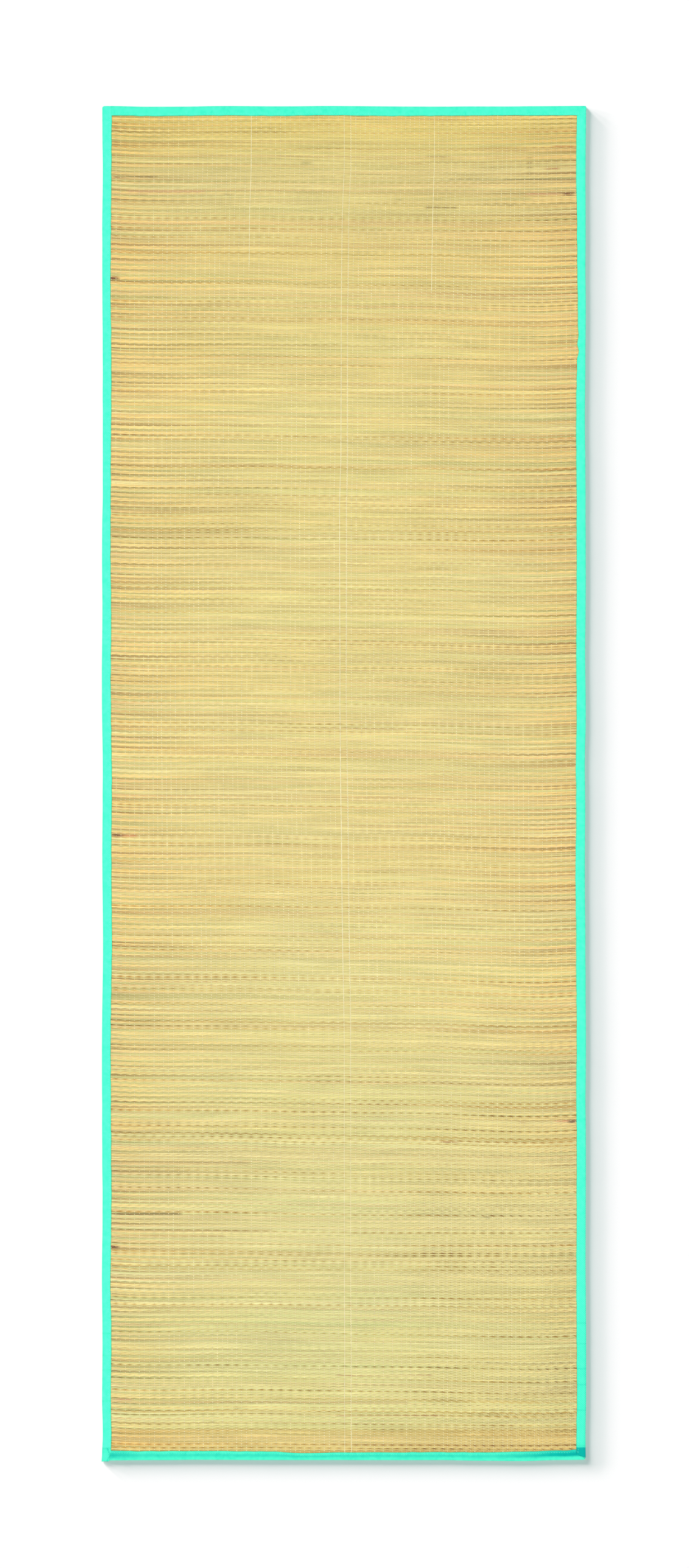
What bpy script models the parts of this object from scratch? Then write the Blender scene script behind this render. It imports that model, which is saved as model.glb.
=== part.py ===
"""Straw beach mat: a woven straw panel whose four edges are bound with folded cloth tape.

The mat lies flat on its underside. X runs across it, Y along it and Z up, and the
origin is the middle of its footprint. Tables are in millimetres, all else in metres.
"""

import math
from collections import namedtuple

import bmesh
import bpy

MM = 0.001

# The mat and its woven panel
MAT_WIDTH = 600 * MM
MAT_LENGTH = 1682 * MM
PANEL_INSET = 2.7 * MM
FIELD_THICKNESS = 2.0 * MM
EDGE_THICKNESS = 1.3 * MM

# Lengthwise ribs, one over each warp thread
WARP_COUNT = 97
WARP_PITCH = 5.94 * MM
RIB_HEIGHT = 0.3 * MM
DRIFT = 5.8 * MM
DRIFT_MIDDLE = 255 * MM
DRIFT_REACH = 380 * MM
DRIFT_HALF_WIDTH = 270 * MM

# The binding: cloth tape folded round the edge, two turned layers to a side
TAPE_THICKNESS = 1.0 * MM
TAPE_CLEARANCE = 0.3 * MM
TAPE_HEIGHT = 2 * (TAPE_THICKNESS + TAPE_CLEARANCE) + EDGE_THICKNESS
TAPE_PUFF = 0.3 * MM
PUFF_SPACING = 74 * MM
STATION_SPACING = 24 * MM
END_STEP = 3 * MM
END_CUT_REACH = 25 * MM
FOLD_STEPS = 4

# The panel rises from the floor to the middle of the binding over this strip
RIM_WIDTH = 13 * MM
RAMP_WIDTH = 40 * MM
LEVEL_WITHIN = math.radians(0.4)

STRAW_COLOUR = (0.753, 0.638, 0.270, 1.0)
TAPE_COLOUR = (0.095, 0.991, 0.694, 1.0)

# along: distance along the edge from its middle. fold and hem: how far the tape's
# folded outer edge and its sewn inner edge lie from the middle of the mat.
Edge = namedtuple("Edge", "along fold hem")
# share: place across the tape, 0 at the hem and 1 at the fold. along: where it is cut.
Cut = namedtuple("Cut", "share along")
Tape = namedtuple("Tape", "name along_axis outward start end rows")

LEFT = Tape(
    name="binding_left", along_axis=(0, 1), outward=(-1, 0),
    start=[Cut(0.0, -842.8), Cut(1.0, -842.8)],
    end=[Cut(0.0, 841.3), Cut(0.85, 841.3), Cut(0.95, 840.5), Cut(1.0, 838.9)],
    rows=[
        Edge(-842.8, 301.1, 294.6), Edge(-833.2, 300.5, 291.5), Edge(-812.0, 299.7, 289.2),
        Edge(-766.6, 300.5, 290.0), Edge(-698.5, 300.0, 289.3), Edge(-622.8, 300.8, 290.6),
        Edge(-524.5, 300.0, 289.3), Edge(-441.3, 300.5, 289.7), Edge(-327.8, 300.8, 290.3),
        Edge(-199.1, 299.4, 288.8), Edge(-85.7, 300.2, 289.3), Edge(5.1, 299.8, 288.9),
        Edge(126.2, 300.8, 290.2), Edge(209.4, 300.3, 289.7), Edge(292.6, 300.7, 290.5),
        Edge(368.3, 299.7, 290.1), Edge(519.6, 299.8, 289.3), Edge(625.6, 300.3, 290.4),
        Edge(701.2, 300.3, 289.8), Edge(761.7, 299.8, 289.3), Edge(841.3, 300.4, 288.8),
    ],
)
RIGHT = Tape(
    name="binding_right", along_axis=(0, 1), outward=(1, 0),
    start=[Cut(0.0, -833.8), Cut(1.0, -837.6)],
    end=[Cut(0.0, 829.3), Cut(1.0, 836.6)],
    rows=[
        Edge(-837.6, 300.3, 288.9), Edge(-812.0, 300.1, 288.7), Edge(-767.0, 300.9, 289.4),
        Edge(-707.0, 300.9, 289.2), Edge(-600.0, 300.3, 288.8), Edge(-464.0, 300.7, 289.2),
        Edge(-389.0, 300.2, 288.7), Edge(-328.0, 300.7, 289.1), Edge(-207.0, 300.1, 288.5),
        Edge(-101.0, 299.4, 287.7), Edge(-40.0, 299.8, 288.6), Edge(20.0, 299.4, 288.2),
        Edge(96.0, 300.5, 289.1), Edge(156.0, 299.8, 288.6), Edge(247.0, 300.5, 289.1),
        Edge(368.0, 300.2, 288.9), Edge(459.0, 299.5, 288.5), Edge(525.0, 300.0, 289.7),
        Edge(557.0, 300.3, 290.7), Edge(603.0, 300.4, 290.6), Edge(641.0, 300.0, 289.7),
        Edge(701.0, 300.4, 289.6), Edge(762.0, 300.1, 288.5), Edge(836.6, 300.9, 289.3),
    ],
)
TOP = Tape(
    name="binding_top", along_axis=(1, 0), outward=(0, 1),
    start=[Cut(0.0, -288.4), Cut(1.0, -288.4)],
    end=[Cut(0.0, 289.4), Cut(0.65, 300.6), Cut(0.85, 301.2), Cut(0.95, 300.4), Cut(1.0, 298.8)],
    rows=[
        Edge(-288.4, 841.5, 830.3), Edge(-244.0, 840.6, 829.4), Edge(-199.0, 840.8, 829.6),
        Edge(-154.0, 841.5, 830.1), Edge(-78.0, 841.2, 829.7), Edge(-17.0, 841.5, 830.4),
        Edge(58.0, 841.0, 829.5), Edge(110.0, 840.7, 829.6), Edge(195.0, 841.0, 830.2),
        Edge(301.1, 841.6, 830.2),
    ],
)
BOTTOM = Tape(
    name="binding_bottom", along_axis=(1, 0), outward=(0, -1),
    start=[Cut(0.0, -289.6), Cut(1.0, -293.4)],
    end=[Cut(0.0, 288.2), Cut(0.5, 288.6), Cut(0.85, 300.2), Cut(0.95, 299.5), Cut(1.0, 298.0)],
    rows=[
        Edge(-293.4, 841.3, 828.6), Edge(-258.0, 841.1, 829.8), Edge(-169.0, 840.7, 829.5),
        Edge(-93.0, 841.0, 830.2), Edge(-48.0, 841.1, 832.0), Edge(13.0, 841.0, 831.1),
        Edge(119.0, 841.1, 831.1), Edge(179.0, 841.8, 831.1), Edge(220.0, 842.1, 830.4),
        Edge(270.0, 840.9, 828.8), Edge(300.2, 840.6, 827.8),
    ],
)

# Rows of panel points, as distances from the mat's middle line, at the rim and the ramp
PANEL_ROWS_MM = (0, 160, 320, 480, 640, 787, 815, 827)


def clear_scene():
    """Removes the objects that a new file starts with."""
    for old in list(bpy.data.objects):
        bpy.data.objects.remove(old, do_unlink=True)


def make_material(name, colour, roughness):
    """A plain cloth or straw material."""
    material = bpy.data.materials.new(name)
    material.use_nodes = True
    shader = material.node_tree.nodes["Principled BSDF"]
    shader.inputs["Base Color"].default_value = colour
    shader.inputs["Roughness"].default_value = roughness
    shader.inputs["Metallic"].default_value = 0.0
    return material


def add_object(name, bm, material, collection):
    """Puts a bmesh into the collection as a named object."""
    mesh = bpy.data.meshes.new(name)
    bm.to_mesh(mesh)
    bm.free()
    mesh.materials.append(material)
    part = bpy.data.objects.new(name, mesh)
    collection.objects.link(part)
    return part


def ease(t):
    """0 to 1 with level ends, for t from 0 to 1."""
    t = min(max(t, 0.0), 1.0)
    return t * t * (3 - 2 * t)


def read_table(rows, column, at):
    """A column's value at a place along the edge, eased between the table's rows."""
    at_mm = at / MM
    if at_mm <= rows[0].along:
        return getattr(rows[0], column) * MM
    for low, high in zip(rows, rows[1:]):
        if at_mm <= high.along:
            t = ease((at_mm - low.along) / (high.along - low.along))
            return (getattr(low, column) * (1 - t) + getattr(high, column) * t) * MM
    return getattr(rows[-1], column) * MM


def read_cut(cuts, share):
    """Where the tape is cut, straight between the listed places across it."""
    for low, high in zip(cuts, cuts[1:]):
        if share <= high.share:
            t = (share - low.share) / (high.share - low.share)
            return (low.along * (1 - t) + high.along * t) * MM
    return cuts[-1].along * MM


def drift(x, y):
    """How far the warps wander to the left: a soft bell along the mat, nil at its sides."""
    along = math.exp(-(((y - DRIFT_MIDDLE) / DRIFT_REACH) ** 2))
    return -DRIFT * along * ease((DRIFT_HALF_WIDTH - abs(x)) / (DRIFT_HALF_WIDTH / 3))


def lift(x, y):
    """1 in the rim that the binding grips, falling to 0 where the panel meets the floor."""
    inside = min(MAT_WIDTH / 2 - abs(x), MAT_LENGTH / 2 - abs(y))
    return min(max(1 - (inside - RIM_WIDTH) / RAMP_WIDTH, 0.0), 1.0)


def panel_underside(x, y):
    return lift(x, y) * (TAPE_THICKNESS + TAPE_CLEARANCE)


def panel_top(x, y, in_groove):
    """The top face: ribs that fade out at the rim, where the panel is pressed flat."""
    gripped = lift(x, y)
    thickness = FIELD_THICKNESS + (EDGE_THICKNESS - FIELD_THICKNESS) * gripped
    groove = RIB_HEIGHT * min(4 * (1 - gripped), 1.0) if in_groove else 0.0
    return panel_underside(x, y) + thickness - groove


def panel_columns():
    """Places across the panel as pairs (x, in_groove): ribs and the grooves between them."""
    edge = MAT_WIDTH / 2 - PANEL_INSET
    first = -(WARP_COUNT - 1) / 2 * WARP_PITCH
    ribs = [(first + k * WARP_PITCH / 2, k % 2 == 1) for k in range(2 * WARP_COUNT - 1)]
    rim = MAT_WIDTH / 2 - RIM_WIDTH + 1 * MM
    return [(-edge, False), (-rim, False), *ribs, (rim, False), (edge, False)]


def panel_rows():
    edge = MAT_LENGTH / 2 - PANEL_INSET
    upper = [*(row * MM for row in PANEL_ROWS_MM), edge]
    return [*(-y for y in reversed(upper[1:])), *upper]


def make_panel(material, collection):
    """The woven panel: a ribbed top over an underside that is level but for its raised rim."""
    columns, rows = panel_columns(), panel_rows()
    bm = bmesh.new()
    bmesh.ops.create_grid(bm, x_segments=len(columns) - 1, y_segments=len(rows) - 1, size=0.5)
    groove = bm.verts.layers.int.new("in_groove")
    for vert in bm.verts:
        x, in_groove = columns[round((vert.co.x + 0.5) * (len(columns) - 1))]
        y = rows[round((vert.co.y + 0.5) * (len(rows) - 1))]
        x += drift(x, y)
        vert[groove] = in_groove
        vert.co = (x, y, panel_underside(x, y))
    raised = bmesh.ops.extrude_face_region(bm, geom=bm.faces[:])["geom"]
    for vert in (item for item in raised if isinstance(item, bmesh.types.BMVert)):
        vert.co.z = panel_top(vert.co.x, vert.co.y, vert[groove])
    bmesh.ops.recalc_face_normals(bm, faces=bm.faces)
    low = {face for face in bm.faces if face.normal.z < -0.5}
    bmesh.ops.dissolve_limit(
        bm,
        angle_limit=LEVEL_WITHIN,
        verts=[vert for vert in bm.verts if low.issuperset(vert.link_faces)],
        edges=[edge for edge in bm.edges if low.issuperset(edge.link_faces)],
    )
    return add_object("straw_panel", bm, material, collection)


def tape_section(hem, fold, puff):
    """The outer face of the folded tape, from its lower hem round the fold to its upper hem.

    Each point is (distance from the middle of the mat, height, share across the tape).
    """
    width, radius = fold - hem, TAPE_HEIGHT / 2
    points = [(hem, 0.0), (hem + 0.5 * width, 0.0)]
    for step in range(FOLD_STEPS + 1):
        angle = math.pi * (step / FOLD_STEPS - 0.5)
        out = fold - radius + radius * math.cos(angle)
        points.append((out, radius + radius * math.sin(angle)))
    points.append((hem + 0.5 * width, TAPE_HEIGHT + puff))
    points.append((hem + 0.2 * width, TAPE_HEIGHT))
    points.append((hem, TAPE_HEIGHT))
    return [(out, z, (out - hem) / width) for out, z in points]


def tape_ends(tape):
    """The furthest places that the tape reaches along its edge."""
    return min(cut.along for cut in tape.start) * MM, max(cut.along for cut in tape.end) * MM


def tape_stations(start, end):
    """Places along the tape, with one more close to each end."""
    count = round((end - start) / STATION_SPACING)
    middle = [start + (end - start) * k / count for k in range(1, count)]
    return [start, start + END_STEP, *middle, end - END_STEP, end]


def make_tape(tape, material, collection):
    """One strip of binding: a folded section carried along the edge, then thickened inwards."""
    start, end = tape_ends(tape)
    (ax, ay), (ox, oy) = tape.along_axis, tape.outward
    bm = bmesh.new()
    sections = []
    for at in tape_stations(start, end):
        fold, hem = read_table(tape.rows, "fold", at), read_table(tape.rows, "hem", at)
        puff = TAPE_PUFF * (0.6 + 0.4 * math.sin(2 * math.pi * at / PUFF_SPACING))
        near_start = max(1 - (at - start) / END_CUT_REACH, 0.0)
        near_end = max(1 - (end - at) / END_CUT_REACH, 0.0)
        section = []
        for out, z, share in tape_section(hem, fold, puff):
            along = at + near_start * (read_cut(tape.start, share) - start)
            along += near_end * (read_cut(tape.end, share) - end)
            section.append(bm.verts.new((ax * along + ox * out, ay * along + oy * out, z)))
        sections.append(section)
    for one, two in zip(sections, sections[1:]):
        for k in range(len(one) - 1):
            bm.faces.new((one[k], one[k + 1], two[k + 1], two[k]))
    if ax * oy - ay * ox < 0:
        bmesh.ops.reverse_faces(bm, faces=bm.faces[:])
    part = add_object(tape.name, bm, material, collection)
    wall = part.modifiers.new("Cloth thickness", "SOLIDIFY")
    wall.thickness = TAPE_THICKNESS
    wall.offset = -1.0
    wall.use_even_offset = True
    return part


def main():
    clear_scene()
    collection = bpy.data.collections.new("straw_beach_mat")
    bpy.context.scene.collection.children.link(collection)
    straw = make_material("woven_straw", STRAW_COLOUR, 0.6)
    cloth = make_material("binding_cloth", TAPE_COLOUR, 0.85)
    make_panel(straw, collection)
    for tape in (LEFT, RIGHT, TOP, BOTTOM):
        make_tape(tape, cloth, collection)


main()
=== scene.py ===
"""Straw beach mat: the woven straw, its warp threads and the sewn cloth binding.

X runs across the mat, Y along it and Z up. The origin is the middle of its footprint,
on the floor. Tables are in millimetres, all else is in metres. In weaving words, a pick
is one crosswise row of straw, and the warp is the set of lengthwise threads.
"""

import math
from collections import namedtuple

import bpy
import numpy as np
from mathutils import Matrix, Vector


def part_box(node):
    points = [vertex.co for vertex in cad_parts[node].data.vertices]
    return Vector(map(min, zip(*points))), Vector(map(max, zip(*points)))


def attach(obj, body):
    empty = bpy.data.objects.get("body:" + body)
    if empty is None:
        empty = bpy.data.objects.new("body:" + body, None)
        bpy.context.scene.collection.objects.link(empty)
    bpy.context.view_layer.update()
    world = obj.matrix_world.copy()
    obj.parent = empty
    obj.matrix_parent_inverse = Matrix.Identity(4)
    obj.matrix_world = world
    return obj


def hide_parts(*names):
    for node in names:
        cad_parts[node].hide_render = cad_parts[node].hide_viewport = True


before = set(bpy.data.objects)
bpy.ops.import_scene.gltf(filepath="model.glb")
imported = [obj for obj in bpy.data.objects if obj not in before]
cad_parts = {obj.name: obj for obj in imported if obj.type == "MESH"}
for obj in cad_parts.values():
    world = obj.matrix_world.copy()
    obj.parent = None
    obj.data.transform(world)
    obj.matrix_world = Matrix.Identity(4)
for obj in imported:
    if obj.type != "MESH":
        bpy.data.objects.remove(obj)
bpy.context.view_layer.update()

bl_info = {
    "name": "Straw Beach Mat",
    "version": (1, 0, 0),
    "blender": (4, 5, 0),
    "location": "3D View > Sidebar > Straw Mat",
    "description": "Builds a woven straw beach mat with a sewn turquoise cloth binding",
    "category": "Object",
}

MM = 0.001


def table(kind, *rows):
    """A table's rows, with their columns named."""
    return tuple(kind(*row) for row in rows)


PANEL_LOW, PANEL_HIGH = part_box("straw_panel")
MAT_HALF_WIDTH = 300 * MM
MAT_HALF_LENGTH = 841 * MM

# How the woven panel lies: on the floor in the field, lifted at the rim by the tape under it
FIELD_MIDDLE = 1.0 * MM
RIM_RISE = 0.95 * MM
RIM_WIDTH = 13 * MM
RAMP_WIDTH = 70 * MM
STRAW_END_MARGIN = 0.8 * MM

# The camera stands straight over the mat. One pixel of the photograph is this long.
PIXEL = 0.7566 * MM
IMAGE_WIDTH, IMAGE_HEIGHT = 1132, 2576
MAT_MIDDLE_PIXEL = (565.1, 1286.8)
CAMERA_HEIGHT = 6.0
SENSOR = 36 * MM
FLOOR_HALF = 8.0

# The lamps. share: the light that each gives a level surface. Angles are degrees. lights:
# what each lamp reaches. The floor's lamps but one stand low and to the upper left, so that
# the mat, 4 mm thick, throws a wide soft shadow. The mat's own lamps light its face evenly.
Lamp = namedtuple("Lamp", "name share elevation spread azimuth colour lights")
LAMPS = table(
    Lamp,
    ("low_softbox_left", 0.123, 5.8, 5.8, 166, (1.0, 0.734, 0.783), "floor"),
    ("low_softbox_middle", 0.123, 5.8, 5.8, 150, (1.0, 0.734, 0.783), "floor"),
    ("low_softbox_upper", 0.122, 5.8, 5.8, 134, (1.0, 0.734, 0.783), "floor"),
    ("side_softbox", 0.534, 17.0, 22, 132, (1.0, 0.78, 0.82), "floor"),
    ("overhead_softbox", 0.583, 89, 10, 135, (0.80, 1.0, 0.966), "floor"),
    ("mat_key_softbox", 0.50, 74, 46, 135, (1.0, 1.0, 1.0), "mat"),
    ("mat_fill_softbox", 0.09, 45, 50, -45, (1.0, 1.0, 1.0), "mat"),
    ("mat_overhead_softbox", 0.41, 89, 40, 135, (1.0, 1.0, 1.0), "mat"),
)
FLOOR_COLOUR = (0.68, 0.725, 0.716)
WORLD_LIGHT = 0.15
# The floor lies a hair under the mat
FLOOR_TOP = -0.05 * MM

# How far the middle warp threads stand off a straight line along the mat
Drift = namedtuple("Drift", "y shift")
DRIFTS = table(
    Drift,
    (-748, 0.7), (-566, 0.0), (-324, -0.1), (-203, -1.6), (-82, -3.1), (39, -4.6), (100, -5.4),
    (342, -5.4), (402, -4.0), (584, -3.8), (644, -3.1), (705, -2.3), (765, -0.1), (826, 0.0),
)
# Threads this far from the middle don't drift, and nearer ones do by degrees
DRIFT_HALF_WIDTH = 270 * MM
DRIFT_FADE = 90 * MM

# The warp threads keep off the panel's sides. The gaps beside the pale pair in the middle are
# wider, and further out two slow waves make the spacing uneven. start is in radians. Nearer
# the middle than the even width, the waves fade.
THREAD_MARGIN = 3 * MM
WIDER_LEFT, WIDER_RIGHT = 0.9 * MM, 1.0 * MM
Wave = namedtuple("Wave", "height threads start")
THREAD_WAVES = table(Wave, (0.30, 7.3, 0.4), (0.45, 17.1, 1.9))
EVEN_WIDTH = 25 * MM
# How far a thread strays sideways, over what length, and the length at its ends where it
# strays less
THREAD_STRAY, STRAY_LENGTH, STRAY_FADE = 0.35 * MM, 70 * MM, 40 * MM

# The mean line of a row of straw across the mat: how far it stands off a straight one
RowPoint = namedtuple("RowPoint", "x rise")
ROW_LINE = table(
    RowPoint,
    (-300, 4.2), (-285, 3.1), (-269, 2.3), (-252, 1.9), (-219, 1.7), (-169, 1.8), (-135, 1.6),
    (-102, 1.3), (-69, 0.6), (-36, 0.0), (-2, 0.0), (12, -0.7), (64, -1.1), (114, -1.7),
    (164, -3.2), (214, -4.2), (247, -4.3), (281, -2.9), (300, -2.0),
)

# Places where the rows bow further: middle, reach either way, rise
Bow = namedtuple("Bow", "x y reach_x reach_y rise")
BOWS = table(
    Bow,
    (250, 785, 110, 90, 5.6), (250, 560, 90, 40, -0.6), (255, 370, 100, 110, 1.5),
    (260, 304, 80, 30, 1.0), (250, -100, 110, 40, -0.8), (255, -265, 100, 60, -1.5),
    (245, -420, 110, 40, -1.5), (240, -575, 120, 75, 3.5), (240, -812, 110, 35, 2.4),
    (-230, 815, 130, 20, -2.4), (-230, 735, 130, 28, -1.9), (-250, 539, 110, 22, -1.0),
    (-220, 445, 110, 30, 0.5), (-240, 340, 100, 90, -0.7), (-240, -125, 100, 40, -0.6),
    (-230, -498, 130, 70, 2.6), (-220, -628, 130, 28, -2.4), (-130, -680, 100, 22, 1.9),
    (-250, -790, 110, 50, -2.3),
)
# The rows straighten over this length at the two short edges
BOW_FADE = 26 * MM

# A row's share of the mean height: the least, the commonest and the greatest. The mean
# itself changes slowly, by this share over this many rows.
ROW_HEIGHTS = (0.84, 1.0, 1.18)
ROW_CHANGE, CHANGE_ROWS = 0.06, 45
# The weave is looser below, and slack in the lower right: where that starts, and how far on
# it is so fully
LOOSE_Y, LOOSE_FADE = -150 * MM, 220 * MM
SLACK_X, SLACK_FADE_X = 30 * MM, 130 * MM
SLACK_Y, SLACK_FADE_Y = -330 * MM, 160 * MM

# Threads with a twin beside them, which shows as a pale line: the place of the thread, how
# far off its twin lies, the twin's share of a thread's width, and where it ends
Twin = namedtuple("Twin", "x gap width until")
TWINS = table(
    Twin,
    (0.0, 0.35, 1.05, -840), (7.9, 1.1, 0.72, -840), (-114.3, 0.4, 1.05, 644),
    (110.4, 0.45, 0.9, 610),
)

# Stains and odd straws: where they lie, how tall they are, their colour and how strong
Mark = namedtuple("Mark", "x_from x_to y tall colour strength")
MARKS = table(
    Mark,
    (-294, -280, 627.8, 1.7, "#6E2F1E", 0.95), (-289, -276, -64.9, 1.7, "#6E2A20", 0.95),
    (-276, -257, -65.2, 1.3, "#DC8C66", 0.75), (-294, -280, -576.0, 1.7, "#6E2F1E", 0.95),
    (277, 290, -420.0, 1.7, "#5E2330", 0.95), (264, 277, -420.0, 1.3, "#DE9272", 0.75),
    (215, 229, -421.6, 1.0, "#A9684E", 0.40), (271, 284, 732.2, 1.6, "#74341F", 0.90),
    (226, 270, 732.2, 1.3, "#E0A27C", 0.60), (260, 287, 791.3, 0.8, "#B06A48", 0.70),
    (249, 266, 764.0, 0.8, "#B06A48", 0.65), (-270, -174, 735.3, 1.2, "#E2A684", 0.55),
    (-288, -265, -765.8, 1.2, "#DE9C88", 0.65), (-290, 80, -768.9, 1.5, "#B48C5E", 0.45),
    (-290, -120, -471.5, 1.5, "#B48C5E", 0.45), (-290, -90, -555.5, 1.2, "#AC8658", 0.50),
    (-290, -150, -562.4, 1.2, "#AC8658", 0.45), (-288, -234, 753.4, 0.9, "#7A6438", 0.70),
    (102, 129, 778.4, 0.9, "#7A6438", 0.35), (162, 231, 785.9, 0.9, "#86683C", 0.35),
    (132, 200, 750.4, 0.9, "#8A7042", 0.45), (200, 288, 750.4, 1.0, "#6E5630", 0.65),
    (102, 140, 715.6, 0.9, "#7A6438", 0.60), (-287, -203, -535.0, 1.5, "#6E5430", 0.80),
    (253, 290, -475.0, 1.1, "#6E5630", 0.30), (120, 140, -445.8, 0.8, "#9A4C34", 0.60),
    (-255, -246, 732.2, 1.2, "#5C4C28", 0.30), (-148, -140, 732.2, 1.2, "#5C4C28", 0.30),
    (112, 120, 726.1, 1.2, "#5C4C28", 0.28), (203, 212, 717.8, 1.2, "#5C4C28", 0.28),
    (173, 183, -539.2, 1.0, "#54452A", 0.35), (-268, -259, -777.2, 1.1, "#5C4C28", 0.35),
    (-137, -128, -776.4, 1.1, "#5C4C28", 0.30), (-170, -161, -793.1, 1.1, "#5C4C28", 0.30),
    (-54, -40, 770.9, 1.2, "#5A5A26", 0.45), (64, 72, 725.4, 1.1, "#5A5A26", 0.35),
    (231, 289, 726.2, 1.3, "#FBDC92", 0.75), (-8, 110, -735.9, 0.7, "#B0785A", 0.60),
    (-8, 120, -785.8, 0.7, "#B0785A", 0.50), (60, 100, 770.0, 0.9, "#B07A44", 0.45),
    *((229, 234, y, 0.9, "#7A6438", 0.60) for y in (777.0, 770.9, 764.8, 758.8)),
)
MARK_FADE = 4 * MM

# Share of the straws that takes each tone: in the middle of the mat, at a straw's thick foot,
# and at its thin tip, where the tip points left and where it points right
MIDDLE_TONES = {
    "straw_green": 0.27, "straw_yellow": 0.29, "straw_pale": 0.13, "straw_sand": 0.21,
    "straw_tan": 0.10,
}
FOOT_TONES = {
    "end_gold": 0.52, "end_orange": 0.14, "end_brown": 0.06, "straw_sand": 0.14,
    "straw_pale": 0.14,
}
LEFT_TIP_TONES = {
    "straw_green": 0.30, "end_green": 0.34, "straw_tan": 0.11, "end_brown": 0.12,
    "end_dark": 0.08, "end_gold": 0.05,
}
RIGHT_TIP_TONES = {
    "straw_green": 0.33, "end_green": 0.17, "straw_tan": 0.20, "end_brown": 0.17,
    "end_dark": 0.07, "end_gold": 0.06,
}
# How much straws of one tone differ
TONE_SPREAD = 0.025
# Over what length a straw's two middle tones change about, and how far in its ends' tones
# reach, at the least and the most, in millimetres
BLEND_LENGTH = 110 * MM
END_REACHES = (70, 220)
# How much of the tones along a straw's edges is their own. The rest is its ridge's.
OWN_TONE = 0.6

# Share of the pairs of rows that lie the same way round as the pair before
ROW_SLIPS = 0.06
# How far the line between two straws that lie opposite ways is off at the mat's sides, as a
# share of half a row
TAPER = 0.32
# How much more the rows swell where the weave is looser, and where it is slack
LOOSE_SWELL, SLACK_SWELL = 0.11, 0.13
# How far a straw's middle line wobbles, and over what length
WOBBLE, WOBBLE_LENGTH = 0.08 * MM, 24 * MM
# How far a straw's edges reach over or under its neighbours
TUCK = 0.04 * MM
# Where the ridge lies across a straw, its thickness as a share of its width and more, how many
# millimetres straws lie higher or lower, and the share of them with their flat side up
RIDGE_PLACES = (0.34, 0.66)
THICK_SHARE, THICK_LEAST = 0.045, 0.04 * MM
STRAW_JITTER = 0.02
FLAT_UP = 0.12
# How far to the right of a thread a slack straw's lower edge swells out, and its upper edge
# to the left. The straw beside it gives way by as much.
SLANT = 1.8 * MM
# Painted light and shade: how much paler a straw is where it rises over a thread, as if lit, and
# darker where it dips under, as if shaded
PAINTED_CREST_LIGHT = 0.045

THREAD_THICK = 0.30 * MM
# Rows from one station of a warp thread to the next
THREAD_STEP = 4
# A thread's width from station to station, as shares of its mean, and how much and over what
# length the mean changes
THREAD_WIDTHS = (0.7, 1.2)
WIDTH_CHANGE, WIDTH_LENGTH = 0.25, 130 * MM
# How much thinner the threads are at the mat's sides and its top, where that starts, and how
# far on it ends or is so fully
THIN_SIDES, SIDES_START, SIDES_FADE = 0.28, 25 * MM, 70 * MM
THIN_TOP, TOP_START, TOP_FADE = 0.2, 640 * MM, 60 * MM
# How far a twin moves from row to row, as a share of its shift and its rise
TWIN_PULL = 0.35
# How much a thread's shade changes from station to station, and slowly over this length
THREAD_SHADE, SHADE_LENGTH = 0.05, 60 * MM

# How the straw's colour changes along the mat, as factors on red, green and blue. The darkest
# rows, just above the bottom tape, are painted shade along its hem.
Tone = namedtuple("Tone", "y red green blue")
TONES = table(
    Tone,
    (-834, 0.62, 0.62, 0.54), (-831, 0.76, 0.66, 0.52), (-828, 0.94, 0.89, 0.79),
    (-822, 0.93, 0.91, 0.84), (-806, 0.95, 0.95, 0.90), (-798, 0.97, 1.10, 1.16),
    (-721, 0.95, 1.08, 1.15), (-570, 0.97, 1.07, 1.17), (-350, 0.98, 1.06, 1.11),
    (-116, 1.00, 1.01, 1.02), (217, 0.985, 1.005, 1.0), (480, 0.975, 0.985, 0.955),
    (640, 0.965, 0.95, 0.90), (755, 0.905, 0.915, 0.89), (798, 0.935, 0.905, 0.765),
    (822, 0.96, 0.89, 0.70), (826, 1.12, 1.06, 0.80), (840, 1.12, 1.02, 0.74),
)

# Factors on red, green and blue over the whole mat
WHOLE_TONE = (1.04, 1.06, 1.075)

# How the straw's brightness changes across the mat
Side = namedtuple("Side", "x factor")
SIDES = table(
    Side,
    (-300, 0.965), (-250, 0.985), (-190, 0.975), (0, 0.965), (120, 0.96), (170, 0.96),
    (260, 0.95), (290, 0.915),
)
# Where the weave is slack the straw is this much brighter, and its tones this near their mean
SLACK_BRIGHTER, SLACK_EVEN = 0.03, 0.45

# Cloudy changes over the mat: how strong they are, and their size in x and y. They change the
# brightness, the warmth, and the painted shadow at the straws' free edges.
Cloud = namedtuple("Cloud", "strength size_x size_y")
BRIGHT_CLOUDS, WARM_CLOUDS, FREE_CLOUDS = table(
    Cloud, (0.03, 170, 16), (0.016, 120, 30), (0.8, 140, 50)
)
# What warmth adds to red, green and blue
WARMTH = (1.0, 0.0, -1.6)
# How much each straw's brightness changes along it, over what length, and at every thread
STRAW_CHANGE, STRAW_CHANGE_LENGTH, SPECKLE = 0.02, 30 * MM, 0.012

# The depth of the painted shade that is drawn along a straw's edge, in the gap between two
# straws: three depths and the share of the edges with each, its factor in the middle of the mat,
# what the sides add to that and how far in, and how much it changes along the straw
EDGE_DEPTHS, DEPTH_SHARES = (0.30, 0.60, 1.2), (0.50, 0.36, 0.14)
DEPTH_MIDDLE, DEPTH_SIDES, DEPTH_REACH = 0.22, 0.75, 110 * MM
DEPTH_LEAST, DEPTH_CHANGE, DEPTH_LENGTH = 0.3, 1.4, 80 * MM
# The painted shadow on an edge that stands free over a thread: everywhere, what is added where
# the weave is looser and where it is slack, how much it changes from straw to straw and how far
# at the most, and how much it changes along a straw
FREE_LEAST, FREE_LOOSE, FREE_SLACK = 0.75, 0.6, 0.7
FREE_ROW_LEAST, FREE_ROWS, FREE_ROWS_MOST = 0.80, 0.25, 2.4
FREE_ALONG_LEAST, FREE_ALONG, FREE_LENGTH = 0.80, 0.8, 70 * MM
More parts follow.
